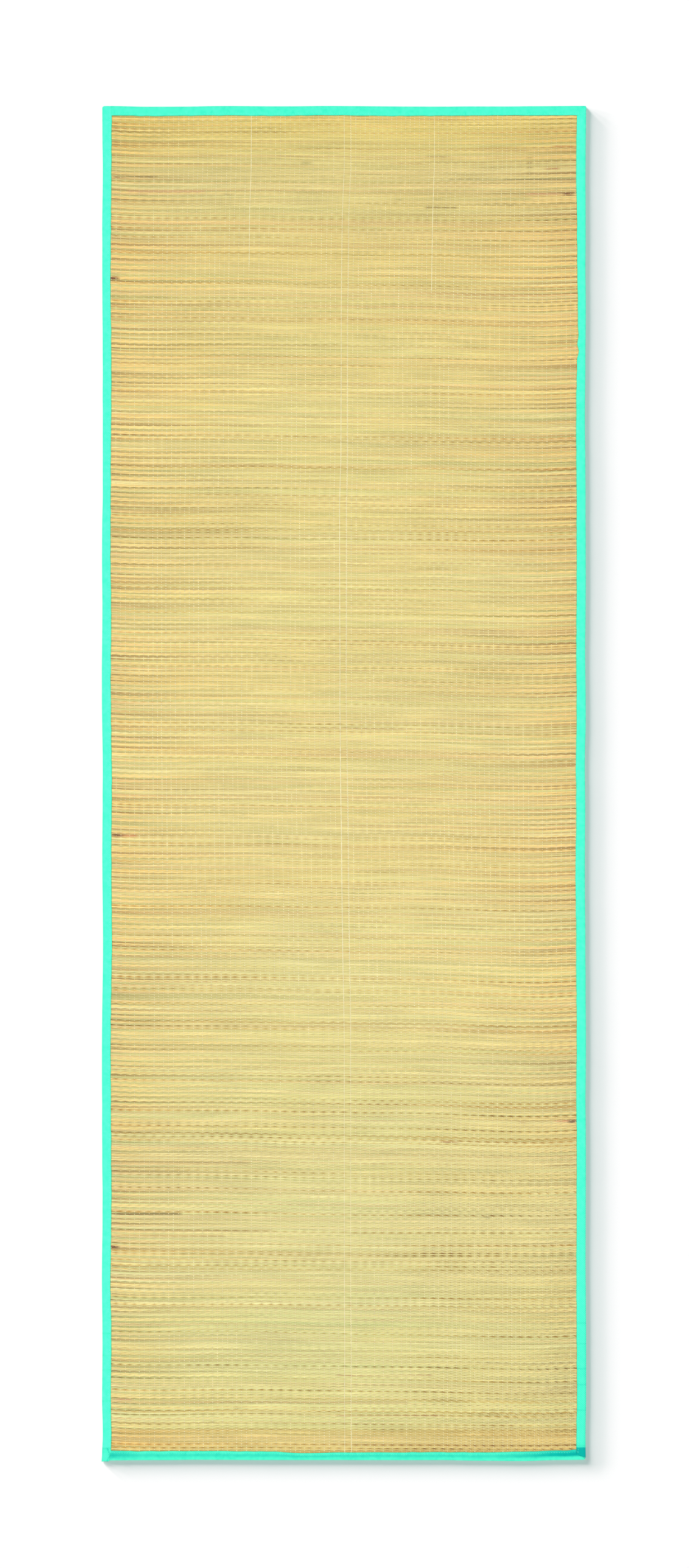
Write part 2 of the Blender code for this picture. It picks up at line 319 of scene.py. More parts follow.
# The upper edges' and the lower edges' shares of the free shade and the drawn one, and what is
# added to both. That paints the upper edges a little lighter and the lower edges darker, as
# painted light and shade from above.
PaintedEdgeShade = namedtuple("PaintedEdgeShade", "free drawn added")
PAINTED_EDGE_SHADES = table(PaintedEdgeShade, (1.0, 0.5, -0.10), (0.4, 1.4, 0.10))

# The binding. along: distance along the edge from its middle. fold and hem: how far the
# tape's folded outer edge and its sewn inner edge lie from the middle of the mat.
Edge = namedtuple("Edge", "along fold hem")
# share: place across the tape, 0 at the hem and 1 at the fold. along: where it is cut.
Cut = namedtuple("Cut", "share along")
# shade: how much of the darker colour is mixed in. ribs: how clearly the twill shows.
Tape = namedtuple("Tape", "name along_axis outward shade ribs start end creases rows")
TAPES = (
    Tape(
        name="left", along_axis=(0, 1), outward=(-1, 0), shade=0.0, ribs=0.10,
        start=table(Cut, (0.0, -842.0), (0.2, -842.7), (0.6, -841.8), (1.0, -842.8)),
        end=table(Cut, (0.0, 841.3), (0.85, 841.3), (0.95, 840.5), (1.0, 838.9)),
        creases=(-683.4, -710.6, -728.8, -767.4, -826.0),
        rows=table(
            Edge,
            (-842.8, 301.1, 291.6), (-833.2, 300.5, 289.4), (-812.0, 299.7, 288.8),
            (-766.6, 300.5, 289.6), (-698.5, 300.0, 288.9), (-622.8, 300.8, 290.2),
            (-524.5, 300.0, 288.9), (-441.3, 300.5, 289.3), (-327.8, 300.8, 289.9),
            (-199.1, 299.4, 288.4), (-85.7, 300.2, 288.9), (5.1, 299.8, 288.5),
            (126.2, 300.8, 289.8), (209.4, 300.3, 289.3), (292.6, 300.7, 290.1),
            (368.3, 299.7, 289.7), (519.6, 299.8, 288.9), (625.6, 300.3, 290.0),
            (701.2, 300.3, 289.4), (761.7, 299.8, 288.9), (841.3, 300.4, 288.4),
        ),
    ),
    Tape(
        name="right", along_axis=(0, 1), outward=(1, 0), shade=0.1, ribs=0.12,
        start=table(Cut, (0.0, -834.0), (1.0, -837.8)),
        end=table(Cut, (0.0, 829.5), (0.72, 829.9), (1.0, 836.9)),
        creases=(-670.5, -696.3, -727.3, -747.0, -778.7, -822.8),
        rows=table(
            Edge,
            (-837.6, 300.3, 288.9), (-812.0, 300.1, 288.7), (-767.0, 300.9, 289.4),
            (-707.0, 300.9, 289.2), (-600.0, 300.3, 288.8), (-464.0, 300.7, 289.2),
            (-389.0, 300.2, 288.7), (-328.0, 300.7, 289.1), (-207.0, 300.1, 288.5),
            (-101.0, 299.4, 287.7), (-40.0, 299.8, 288.6), (20.0, 299.4, 288.2),
            (96.0, 300.5, 289.1), (156.0, 299.8, 288.6), (247.0, 300.5, 289.1),
            (368.0, 300.2, 288.9), (459.0, 299.5, 288.5), (525.0, 300.0, 289.4),
            (537.0, 300.1, 292.0), (546.0, 300.2, 289.8), (557.0, 300.3, 291.5),
            (570.0, 300.4, 290.4), (603.0, 300.4, 290.6), (641.0, 300.0, 289.7),
            (701.0, 300.4, 289.6), (762.0, 300.1, 288.5), (836.6, 300.9, 289.3),
        ),
    ),
    Tape(
        name="top", along_axis=(1, 0), outward=(0, 1), shade=0.4, ribs=0.10,
        start=table(Cut, (0.0, -289.3), (1.0, -289.6)),
        end=table(
            Cut,
            (0.0, 297.4), (0.1, 298.4), (0.65, 301.3), (0.85, 301.5), (0.95, 300.6), (1.0, 298.8),
        ),
        creases=(),
        rows=table(
            Edge,
            (-289.6, 841.5, 829.7), (-244.0, 840.6, 828.8), (-199.0, 840.8, 829.0),
            (-154.0, 841.5, 829.5), (-78.0, 841.2, 829.1), (-17.0, 841.5, 829.8),
            (58.0, 841.0, 828.9), (110.0, 840.7, 829.0), (195.0, 841.0, 829.6),
            (301.1, 841.6, 829.6),
        ),
    ),
    Tape(
        name="bottom", along_axis=(1, 0), outward=(0, -1), shade=0.12, ribs=0.16,
        start=table(Cut, (0.0, -289.5), (0.4, -290.4), (1.0, -292.2)),
        end=table(Cut, (0.0, 288.4), (0.5, 289.4), (0.85, 300.3), (0.95, 299.6), (1.0, 298.0)),
        creases=(),
        rows=table(
            Edge,
            (-292.2, 841.3, 828.9), (-258.0, 841.1, 829.8), (-169.0, 840.7, 829.5),
            (-93.0, 841.0, 830.2), (-48.0, 841.1, 832.0), (13.0, 841.0, 831.1),
            (119.0, 841.1, 831.1), (179.0, 841.8, 831.1), (220.0, 842.1, 830.4),
            (270.0, 840.9, 828.8), (300.2, 840.6, 827.8),
        ),
    ),
)

# The folded tape's section, once round it: from its lower hem along the floor, round the
# fold, back over the top to the upper hem, and home along the inside. side: 0 is measured
# from the hem and 1 from the fold. puff: how much the cloth's fullness lifts the point.
Turn = namedtuple("Turn", "side off z puff")
TAPE_SECTION = table(
    Turn,
    (0.0, 0.2, 0.10, 0), (0.0, 1.4, 0.0, 0), (0.0, 2.6, 0.35, 0), (0.45, 0.0, 0.0, 0),
    (1.0, -2.0, 0.0, 0), (1.0, -0.75, 0.22, 0), (1.0, -0.10, 1.05, 0), (1.0, -0.02, 2.40, 0),
    (1.0, -0.12, 3.35, 0.2), (1.0, -0.50, 3.72, 0.6), (0.72, 0.0, 3.86, 1.0),
    (0.48, 0.0, 3.84, 0.9), (0.0, 3.7, 3.66, 0.4), (0.0, 2.6, 3.50, 0.1), (0.0, 1.5, 3.46, 0.2),
    (0.0, 0.5, 3.36, 0.1), (0.0, 0.0, 3.06, 0), (0.0, 0.2, 2.82, 0), (0.3, 0.0, 2.90, 0),
    (1.0, -2.4, 2.85, 0), (1.0, -1.2, 1.95, 0), (1.0, -2.4, 1.05, 0), (0.3, 0.0, 1.0, 0),
    (0.0, 0.2, 0.95, 0),
)
# How far from its ends a tape is slid to its cuts
CUT_REACH = 25 * MM
# Stations along a tape. They are finer at its ends, and in threes at its creases: how many at
# an end, and how many millimetres apart.
STATION_STEP = 4 * MM
FINE_STATIONS, FINE_STEP = 13, 1.3
# How many millimetres the hem and the fold wander, and over what length
HEM_WANDER, HEM_LENGTH = 0.28, 9 * MM
FOLD_WANDER, FOLD_LENGTH = 0.12, 26 * MM
# The cloth's fullness in millimetres, its slow and quick changes and their lengths, and how much
# and over what width a crease draws it in and darkens it with painted shade
PUFF = 0.15
PUFF_SLOW, PUFF_SLOW_LENGTH = 0.10, 31 * MM
PUFF_QUICK, PUFF_QUICK_LENGTH = 0.03, 8 * MM
CREASE_DEPTH, CREASE_WIDTH, CREASE_SHADE, CREASE_SHADE_WIDTH = 0.18, 1.1 * MM, 0.5, 1.0 * MM

# Stretches of a tape that are darker: from where along it, how much further on it is so
# fully, with a minus where that is further back, how far out from the hem as a share of the
# width, and how much
Dark = namedtuple("Dark", "tape along fade within strength")
DARKS = table(
    Dark,
    ("bottom", 180, 110, 0.6, 1.2), ("bottom", -240, -50, 0.9, 0.5),
    ("right", -640, -90, 1.0, 0.25), ("right", -823.8, -2, 1.0, 1.8),
)
# The bottom tape has painted shade along its middle: where that lies and how wide it is, as
# shares of the tape's width. The side tapes have painted shade at their folds, where the cloth
# turns down: how much, and from which share.
BAND_MIDDLE, BAND_WIDTH = 0.45, 0.30
FOLD_SHADE, FOLD_FROM = 0.2, 0.86
# The curled lower left corner, darkened with painted shade: where along the tape it starts and
# over what length, its painted shade and that of the crease line across it. The line bends like a
# bowl: where along the tape its middle lies, how far across, its bend and its width.
CURL_FROM, CURL_FADE, CURL_SHADE, CURL_LINE = -824 * MM, 3 * MM, 0.3, 1.1
CURL_MIDDLE, CURL_LOWEST, CURL_BEND, CURL_WIDTH = -835.8 * MM, 0.17, 0.0026, 0.08
# The right tape's twill shows more below: how much, from where and over what length
CLEARER, CLEARER_FROM, CLEARER_FADE = 0.30, -400 * MM, 200 * MM

# A row of stitches: how far it lies from the hem and keeps from the tape's ends, and how high
# it lies on the upper and the lower face
STITCH_LINE, STITCH_MARGIN = 2.6 * MM, 7 * MM
STITCH_HEIGHTS = (3.48 * MM, 0.20 * MM)
# One stitch, in millimetres: how far it is out of place, its length as a share, its lie
# across the tape and its height from end to end, and its section. Then how thick stitches on
# the lower face are, as a share of the upper ones, and how much the shades of stitches differ.
STITCH_JITTER = 0.12
STITCH_LENGTHS = (0.88, 1.06)
STITCH_LIE, STITCH_ARCH = (0, 0.05, 0.1), (-0.20, 0.12, -0.20)
STITCH_RING = ((-0.24, -0.12), (0.0, 0.14), (0.24, -0.12))
STITCH_BELOW, STITCH_SHADE = 0.6, 0.03

# Seeds of the random draws
SEED_WEAVE, SEED_STRAW, SEED_THREAD, SEED_TAPE, SEED_STITCH = 11, 23, 37, 41, 53


def linear(hex_colour):
    """A colour as shaders take it, from its sRGB hex value. Each channel, from 0 to 1, is
    divided by 12.92 where it is dark. Elsewhere 0.055 is added, the sum is divided by 1.055
    and raised to the power of 2.4."""
    srgb = np.array([int(hex_colour[k : k + 2], 16) for k in (1, 3, 5)]) / 255
    return tuple(np.where(srgb <= 0.04045, srgb / 12.92, ((srgb + 0.055) / 1.055) ** 2.4))


def ease(t):
    """0 to 1 with level ends, for t from 0 to 1: three times its square less twice its cube."""
    t = np.clip(t, 0.0, 1.0)
    return t * t * (3 - 2 * t)


def bell(off, width):
    """1 in the middle, falling to 0 on both sides: e to the power of minus the square."""
    return np.exp(-((off / width) ** 2))


def column(rows, name):
    """One column of a table."""
    return np.array([getattr(row, name) for row in rows], float)


def look_up(rows, key, name, at):
    """A column's value at each place, on straight lines from row to row."""
    return np.interp(at / MM, column(rows, key), column(rows, name))


def wander(rng, rows, places, spacing):
    """Smooth noise from -1 to 1, a line of it for each row: random values a spacing apart,
    eased from one to the next."""
    places = np.broadcast_to(places, (rows, np.shape(places)[-1]))
    at = (places - places.min()) / spacing
    low = np.floor(at).astype(int)
    knots = rng.uniform(-1, 1, (rows, low.max() + 2))
    part = ease(at - low)
    line = np.arange(rows)[:, None]
    return knots[line, low] * (1 - part) + knots[line, low + 1] * part


def patches(rng, x, y, cloud):
    """Smooth noise over the mat: random values from -1 to 1 on a grid of the cloud's size,
    eased both ways, times its strength."""
    across = (x + MAT_HALF_WIDTH) / (cloud.size_x * MM)
    along = (y + MAT_HALF_LENGTH) / (cloud.size_y * MM)
    i, j = np.floor(across).astype(int), np.floor(along).astype(int)
    knots = rng.uniform(-1, 1, (i.max() + 2, j.max() + 2))
    u, v = ease(across - i), ease(along - j)
    low = knots[i, j] * (1 - u) + knots[i + 1, j] * u
    high = knots[i, j + 1] * (1 - u) + knots[i + 1, j + 1] * u
    return cloud.strength * (low * (1 - v) + high * v)


def rim_lift(x, y):
    """1 in the rim that the binding grips, falling to 0 where the panel meets the floor."""
    inside = np.minimum(MAT_HALF_WIDTH - abs(x), MAT_HALF_LENGTH - abs(y))
    return np.clip(1 - (inside - RIM_WIDTH) / RAMP_WIDTH, 0, 1)


def drift(x, y):
    """How far a warp thread has wandered sideways: the table's value, fading to the sides."""
    shift = look_up(DRIFTS, "y", "shift", y) * MM
    return shift * ease((DRIFT_HALF_WIDTH - abs(x)) / DRIFT_FADE)


def bow(x, y):
    """How far a row of straw has wandered along the mat: its mean line, and a sum of soft
    round bumps. Next to the two short edges the rows are straight."""
    total = look_up(ROW_LINE, "x", "rise", x) * MM
    total = np.broadcast_to(total, np.broadcast(x, y).shape).copy()
    for one in BOWS:
        off = ((x / MM - one.x) / one.reach_x) ** 2 + ((y / MM - one.y) / one.reach_y) ** 2
        total += one.rise * MM * np.exp(-off)
    return total * ease((MAT_HALF_LENGTH - abs(y)) / BOW_FADE)


def lower_part(y):
    """1 in the lower quarter of the mat, where the weave is looser, falling to 0 above it."""
    return ease((LOOSE_Y - y) / LOOSE_FADE)


def lower_right(x, y):
    """1 in the lower right of the mat, where the weave is slack, falling to 0 round it."""
    return ease((x - SLACK_X) / SLACK_FADE_X) * ease((SLACK_Y - y) / SLACK_FADE_Y)


def length_property(name, description, usual, least, most):
    """A length, with its default and limits in millimetres."""
    return bpy.props.FloatProperty(
        name=name, description=description, default=usual * MM, min=least * MM, max=most * MM,
        unit="LENGTH", precision=5,
    )


class StrawMatSizes(bpy.types.PropertyGroup):
    """Sizes of the straw, the thread and the binding."""

    pick_pitch: length_property(
        "Row spacing", "Mean distance from one row of straw to the next", 1.56, 1, 8
    )
    left_pitch: length_property(
        "Thread spacing, left", "Distance between warp threads left of the middle", 6.02, 4, 12
    )
    right_pitch: length_property(
        "Thread spacing, right", "Distance between warp threads right of the middle", 5.68, 4, 12
    )
    middle_gap: length_property(
        "Middle gap", "Distance between the two pale lines in the middle", 7.9, 5, 12
    )
    weave_height: length_property(
        "Weave height", "How far a straw rises and falls about its middle", 0.25, 0.2, 0.5
    )
    straw_swell: bpy.props.FloatProperty(
        name="Straw swell", description="How much wider a straw is where it lies over a thread",
        default=0.13, min=0.0, max=0.4, subtype="FACTOR",
    )
    thread_width: length_property("Thread width", "Width of a warp thread", 1.0, 0.3, 2)
    twin_rise: length_property(
        "Twin thread rise", "How far a twin thread lies above its neighbour", 0.30, 0.2, 0.7
    )
    stitch_pitch: length_property(
        "Stitch spacing", "Distance from one stitch of the binding to the next", 3.2, 2, 6
    )
    stitch_length: length_property("Stitch length", "Length of a stitch that shows", 2.4, 1, 5)


def colour_property(name, description, hex_colour):
    """A colour, with its default as an sRGB hex value."""
    return bpy.props.FloatVectorProperty(
        name=name, description=description, default=linear(hex_colour),
        size=3, min=0.0, max=1.0, subtype="COLOR",
    )


class StrawMatColours(bpy.types.PropertyGroup):
    """Colours of the straw, the thread and the binding."""

    straw_green: colour_property("Green straw", "Straw cut while still green", "#D7D08A")
    straw_yellow: colour_property("Yellow straw", "The commonest straw", "#E7DB93")
    straw_pale: colour_property("Pale straw", "Straw bleached by the sun", "#EFE1A0")
    straw_sand: colour_property("Sandy straw", "Warm straw", "#E4CD8D")
    straw_tan: colour_property("Tan straw", "Dull ripe straw", "#D9BD84")
    end_gold: colour_property("Golden end", "The ripe foot of a straw", "#F8D588")
    end_orange: colour_property("Orange end", "The foot of a straw, near the root", "#EDC587")
    end_green: colour_property("Green end", "A dull green tip", "#BDB374")
    end_brown: colour_property("Brown end", "The weathered foot of a straw", "#BC985F")
    end_dark: colour_property("Dark end", "A withered tip", "#A07C48")
    # The colour of the painted shade along the straws' edges
    straw_edge_painted_shade: colour_property("Straw edge", "What a straw's edges are darkened by", "#DCCBB0")
    warp_thread: colour_property("Warp thread", "Undyed cotton thread", "#E9E0B2")
    tape: colour_property("Binding cloth", "Turquoise cotton tape", "#50FFD0")
    # The darker turquoise: a darker tone of the tape, and painted shade at its creases, folds,
    # curled corner and along the bottom tape's middle
    tape_tone_and_painted_shade: colour_property("Binding shade", "Where the tape is darker", "#38DFBD")
    stitch: colour_property("Stitches", "The binding's sewing thread", "#7CFFE4")


def add_node(material, kind, inputs=None, **settings):
    """Adds a node. An input takes a value, or the output socket that it is linked to."""
    tree = material.node_tree
    node = tree.nodes.new(kind)
    for name, value in settings.items():
        setattr(node, name, value)
    for name, value in (inputs or {}).items():
        if isinstance(value, bpy.types.NodeSocket):
            tree.links.new(value, node.inputs[name])
        else:
            node.inputs[name].default_value = value
    return node


def new_material(name, roughness, ior_level):
    """A dielectric surface of its own colour attribute. Returns it with its shader."""
    material = bpy.data.materials.new(name)
    material.use_nodes = True
    shader = material.node_tree.nodes["Principled BSDF"]
    shader.inputs["Roughness"].default_value = roughness
    shader.inputs["Metallic"].default_value = 0.0
    shader.inputs["IOR"].default_value = 1.5
    shader.inputs["Specular IOR Level"].default_value = ior_level
    return material, shader


# The sockets of a node that mixes colours
MIX_FACTOR, MIX_FIRST, MIX_SECOND, MIX_RESULT = 0, 6, 7, 2


def tint(material, shader, factor):
    """Feeds the shader the piece's colour attribute, times a factor from the nodes."""
    painted = add_node(material, "ShaderNodeAttribute", attribute_name="Colour")
    mixed = add_node(
        material, "ShaderNodeMix",
        {MIX_FACTOR: 1.0, MIX_FIRST: painted.outputs["Color"], MIX_SECOND: factor},
        data_type="RGBA", blend_type="MULTIPLY",
    )
    material.node_tree.links.new(mixed.outputs[MIX_RESULT], shader.inputs["Base Color"])


def raise_bumps(material, shader, height, depth, strength):
    """Bump from a height between 0 and 1, where 1 stands this deep over 0."""
    bump = add_node(
        material, "ShaderNodeBump", {"Height": height, "Distance": depth, "Strength": strength}
    )
    material.node_tree.links.new(bump.outputs["Normal"], shader.inputs["Normal"])


def slant_waves(material, turn):
    """Waves from -1 to 1 across the diagonal: the sine of the sum of x, y and z, times turn."""
    place = add_node(material, "ShaderNodeTexCoord")
    slant = add_node(
        material, "ShaderNodeVectorMath", {0: place.outputs["Object"], 1: (turn, turn, turn)},
        operation="DOT_PRODUCT",
    )
    waves = add_node(material, "ShaderNodeMath", {0: slant.outputs["Value"]}, operation="SINE")
    return waves.outputs["Value"]


def split_straw_material():
    """Dry split straw, woven by hand: a waxy skin with long fibres. The fibres give the eye
    fine warm and green streaks along each straw, and the skin a soft dull shine."""
    material, shader = new_material("split_straw_woven", roughness=0.6, ior_level=0.25)
    # Fibres are 0.2 mm wide. They are drawn 0.8 mm wide, about a pixel, and 70 mm long. Each
    # straw has its own slice of them.
    length, width, slices = 70 * MM, 0.8 * MM, 9.0
    dark, pale = (0.72, 0.73, 0.65, 1.0), (1.22, 1.19, 1.16, 1.0)
    place = add_node(material, "ShaderNodeAttribute", attribute_name="Grain")
    laid = add_node(
        material, "ShaderNodeMapping",
        {"Vector": place.outputs["Vector"], "Scale": (1 / length, 1 / width, slices)},
    )
    fibres = add_node(
        material, "ShaderNodeTexNoise",
        {"Vector": laid.outputs["Vector"], "Scale": 1.0, "Detail": 2.0, "Roughness": 0.6},
    )
    spread = add_node(
        material, "ShaderNodeMapRange",
        {"Value": fibres.outputs["Fac"], "From Min": 0.28, "From Max": 0.72},
    )
    streaks = add_node(
        material, "ShaderNodeMix",
        {MIX_FACTOR: spread.outputs["Result"], MIX_FIRST: dark, MIX_SECOND: pale},
        data_type="RGBA",
    )
    tint(material, shader, streaks.outputs[MIX_RESULT])
    raise_bumps(material, shader, fibres.outputs["Fac"], depth=0.05 * MM, strength=0.5)
    return material


def cotton_thread_material():
    """Undyed cotton thread, twisted from two plies: matt, with a slant grain."""
    material, shader = new_material("cotton_thread_twisted", roughness=0.85, ior_level=0.2)
    # The plies turn once in 1.5 mm along the thread, at 45 degrees to it.
    twist = slant_waves(material, 2 * math.pi / (1.5 * MM))
    factor = add_node(
        material, "ShaderNodeMapRange",
        {"Value": twist, "From Min": -1.0, "From Max": 1.0, "To Min": 0.9, "To Max": 1.04},
    )
    tint(material, shader, factor.outputs["Result"])
    return material


def cotton_tape_material():
    """Woven cotton twill, dyed turquoise and folded: matt, with fine slant ribs and a
    slightly uneven dye. The piece's own grain says how clearly its ribs show."""
    material, shader = new_material("cotton_tape_twill", roughness=0.9, ior_level=0.12)
    # Twill ribs are 0.7 mm apart. They are drawn 1.6 mm apart, the finest that shows. The dye
    # is uneven in spots of 6 mm and smaller.
    ribs = slant_waves(material, 2 * math.pi / (1.6 * MM * math.sqrt(2)))
    dark, pale = (0.45, 0.87, 0.88, 1.0), (1.60, 1.11, 1.10, 1.0)
    clear = add_node(material, "ShaderNodeAttribute", attribute_name="Grain")
    seen = add_node(
        material, "ShaderNodeMath", {0: ribs, 1: clear.outputs["Fac"]}, operation="MULTIPLY"
    )
    place = add_node(material, "ShaderNodeTexCoord")
    dye = add_node(
        material, "ShaderNodeTexNoise",
        {
            "Vector": place.outputs["Object"], "Scale": 1 / (6 * MM), "Detail": 4.0,
            "Roughness": 0.75,
        },
    )
    both = add_node(
        material, "ShaderNodeMath", {0: seen.outputs["Value"], 1: dye.outputs["Fac"]}
    )
    spread = add_node(
        material, "ShaderNodeMapRange",
        {"Value": both.outputs["Value"], "From Min": 0.2, "From Max": 0.8, "To Max": 1.0},
    )
    factor = add_node(
        material, "ShaderNodeMix",
        {MIX_FACTOR: spread.outputs["Result"], MIX_FIRST: dark, MIX_SECOND: pale},
        data_type="RGBA",
    )
    tint(material, shader, factor.outputs[MIX_RESULT])
    raise_bumps(material, shader, both.outputs["Value"], depth=0.08 * MM, strength=0.35)
    return material


def sewing_thread_material():
    """Spun polyester sewing thread, a little paler and glossier than the tape."""
    material, shader = new_material("polyester_sewing_thread", roughness=0.55, ior_level=0.3)
    place = add_node(material, "ShaderNodeTexCoord")
    # Plies of a 0.4 mm thread, drawn 0.8 mm apart
    grain = add_node(
        material, "ShaderNodeTexNoise",
        {"Vector": place.outputs["Object"], "Scale": 1 / (0.8 * MM)},
    )
    factor = add_node(
        material, "ShaderNodeMapRange",
        {"Value": grain.outputs["Fac"], "To Min": 0.85, "To Max": 1.1},
    )
    tint(material, shader, factor.outputs["Result"])
    return material


def paper_material():
    """Matt paper under the mat: it gives the eye nothing but the soft shadow."""
    material, shader = new_material("pale_paper_matt", roughness=1.0, ior_level=0.0)
    shader.inputs["Base Color"].default_value = (*FLOOR_COLOUR, 1.0)
    return material


def read_all(items, name, kind, width=1):
    """One property of all the parts of a mesh, a row for each part."""
    values = np.empty(len(items) * width, kind)
    items.foreach_get(name, values)
    return values.reshape(-1, width) if width > 1 else values


def add_strips(name, points, colours, material, flat_sides=(), grain=None):
    """A mesh of closed strips. points is (strips, stations, around, 3): at each station
    along a strip, one turn of points around it, anticlockwise when looking along it.
    Quads join each turn to the next, and a face closes each end. A flat side isn't smoothed
    into its neighbours. grain is kept as an attribute that the material reads: the place of
    a straw's fibres, or how clearly a tape's ribs show."""
    strips, stations, around = points.shape[:3]
    turns = np.arange(strips * stations * around).reshape(strips, stations, around)
    here, there = turns[:, :-1], turns[:, 1:]
    quads = np.stack((here, there, np.roll(there, -1, 2), np.roll(here, -1, 2)), -1)
    corners = np.concatenate((quads.ravel(), turns[:, 0].ravel(), turns[:, -1, ::-1].ravel()))
    sizes = np.concatenate((np.full(quads.size // 4, 4), np.full(2 * strips, around)))
    mesh = bpy.data.meshes.new(name)
    mesh.vertices.add(turns.size)
    mesh.vertices.foreach_set("co", points.astype(np.float32).ravel())
    mesh.loops.add(len(corners))
    mesh.loops.foreach_set("vertex_index", corners.astype(np.int32))
    mesh.polygons.add(len(sizes))
    mesh.polygons.foreach_set("loop_start", (np.cumsum(sizes) - sizes).astype(np.int32))
    mesh.update(calc_edges=True)
    mesh.materials.append(material)
    flat = np.ones(len(sizes), bool)
    flat[: quads.size // 4] = np.isin(np.arange(quads.size // 4) % around, flat_sides)
    mesh.attributes.new("sharp_face", "BOOLEAN", "FACE").data.foreach_set("value", flat)
    if flat_sides:
        turn = read_all(mesh.edges, "vertices", np.int32, 2) % around
        rims = [(side + step) % around for side in flat_sides for step in (0, 1)]
        sharp = (turn[:, 0] == turn[:, 1]) & np.isin(turn[:, 0], rims)
        mesh.attributes.new("sharp_edge", "BOOLEAN", "EDGE").data.foreach_set("value", sharp)
    paint = mesh.color_attributes.new("Colour", "FLOAT_COLOR", "POINT")
    rgba = np.concatenate((colours, np.ones((*colours.shape[:-1], 1))), -1)
    paint.data.foreach_set("color", rgba.astype(np.float32).ravel())
    if grain is not None:
        kept = mesh.attributes.new("Grain", "FLOAT_VECTOR", "POINT")
        kept.data.foreach_set("vector", grain.astype(np.float32).ravel())
    piece = bpy.data.objects.new(name, mesh)
    bpy.context.scene.collection.objects.link(piece)
    return piece


def add_bake_map(piece):
    """A UV map seen from above: upper faces in its left half and lower faces in its right."""
    mesh = piece.data
    places = read_all(mesh.vertices, "co", np.float32, 3)[:, :2]
    normals = read_all(mesh.polygons, "normal", np.float32, 3)
    sizes = read_all(mesh.polygons, "loop_total", np.int32)
    corners = read_all(mesh.loops, "vertex_index", np.int32)
    low, high = places.min(0), places.max(0)
    uv = ((places - low) / (high - low))[corners]
    facing_down = np.repeat(normals[:, 2] < 0, sizes)
    uv[:, 0] = 0.5 * (uv[:, 0] + facing_down)
    mesh.uv_layers.new(name="OFBake").uv.foreach_set("vector", uv.ravel())


Weave = namedtuple("Weave", "x y height over")


def thread_places(sizes):
    """Where each warp thread crosses the mat's middle line, from left to right. They stand a
    pitch apart, with a wider pair in the middle and two slow waves of unevenness."""
    half = PANEL_HIGH.x - THREAD_MARGIN
    left = np.arange(1, int((half - WIDER_LEFT) / sizes.left_pitch) + 1)
    right = np.arange(1, int((half - sizes.middle_gap - WIDER_RIGHT) / sizes.right_pitch) + 1)
    places = np.concatenate((
        -(WIDER_LEFT + sizes.left_pitch * left[::-1]),
        (0.0, sizes.middle_gap),
        sizes.middle_gap + WIDER_RIGHT + sizes.right_pitch * right,
    ))
    turns = 2 * np.pi * np.arange(len(places))
    uneven = sum(one.height * np.sin(turns / one.threads + one.start) for one in THREAD_WAVES)
    return places + uneven * MM * ease(abs(places) / EVEN_WIDTH)


def lay_out_weave(sizes):
    """Where each row of straw crosses each warp thread. x and y are (rows, threads), height is
    each row's share of the mat's length, and over is 1 where the straw lies over the thread
    and -1 where it lies under, changing at every step both ways."""
    rng = np.random.default_rng(SEED_WEAVE)
    top = PANEL_HIGH.y - STRAW_END_MARGIN
    bottom = PANEL_LOW.y + STRAW_END_MARGIN
    rows = round((top - bottom) / sizes.pick_pitch)
    height = rng.triangular(*ROW_HEIGHTS, rows)
    height *= 1 + ROW_CHANGE * wander(rng, 1, np.arange(rows), CHANGE_ROWS)[0]
    height *= (top - bottom) / height.sum()
    middle = top - np.cumsum(height) + height / 2
    places = thread_places(sizes)
    threads = len(places)
    along = middle[:, None]
    stray = wander(rng, threads, middle, STRAY_LENGTH).T * THREAD_STRAY
    stray = stray * ease((MAT_HALF_LENGTH - abs(along)) / STRAY_FADE)
    x = places + drift(places, along) + stray
    y = along + bow(x, along)
    over = np.where((np.arange(rows)[:, None] + np.arange(threads)) % 2, 1.0, -1.0)
    return Weave(x, y, height, over)


def pick_tones(rng, colours, shares, count):
    """A random tone for each straw, by the shares."""
    names = list(shares)
    tones = np.array([getattr(colours, name) for name in names])
    drawn = tones[rng.choice(len(names), count, p=list(shares.values()))]
    return drawn * rng.normal(1.0, TONE_SPREAD, (count, 1))


def mark_straws(painted, x, y):
    """Mixes each mark's colour into the straws that it covers: fading at both ends, and
    bell-shaped across."""
    for mark in MARKS:
        inside = np.minimum(x - mark.x_from * MM, mark.x_to * MM - x)
        across = bell(y - mark.y * MM, mark.tall * MM)
        weight = (mark.strength * ease(inside / MARK_FADE + 0.5) * across)[..., None]
        painted = painted * (1 - weight) + np.array(linear(mark.colour)) * weight
    return painted


def straw_tones(rng, colours, x, foot):
    """Each straw's tone along it: a blend of two tones in the middle, and the tones of its foot
    and its tip at the mat's sides. foot is the side where its foot lies, -1 or 1."""
    count = len(x)
    middle = [pick_tones(rng, colours, MIDDLE_TONES, count)[:, None] for _ in range(2)]
    share = (0.5 + 0.5 * wander(rng, count, x, BLEND_LENGTH))[..., None]
    painted = middle[0] * share + middle[1] * (1 - share)
    feet, left_tips, right_tips = (
        pick_tones(rng, colours, shares, count)
        for shares in (FOOT_TONES, LEFT_TIP_TONES, RIGHT_TIP_TONES)
    )
    tips = np.where(foot[:, None] > 0, left_tips, right_tips)
    for end, side in ((feet, foot), (tips, -foot)):
        reach = rng.uniform(*END_REACHES, (count, 1)) * MM
        weight = np.exp(-(MAT_HALF_WIDTH - side[:, None] * x) / reach)[..., None]
        painted = painted * (1 - weight) + end[:, None] * weight
    return painted


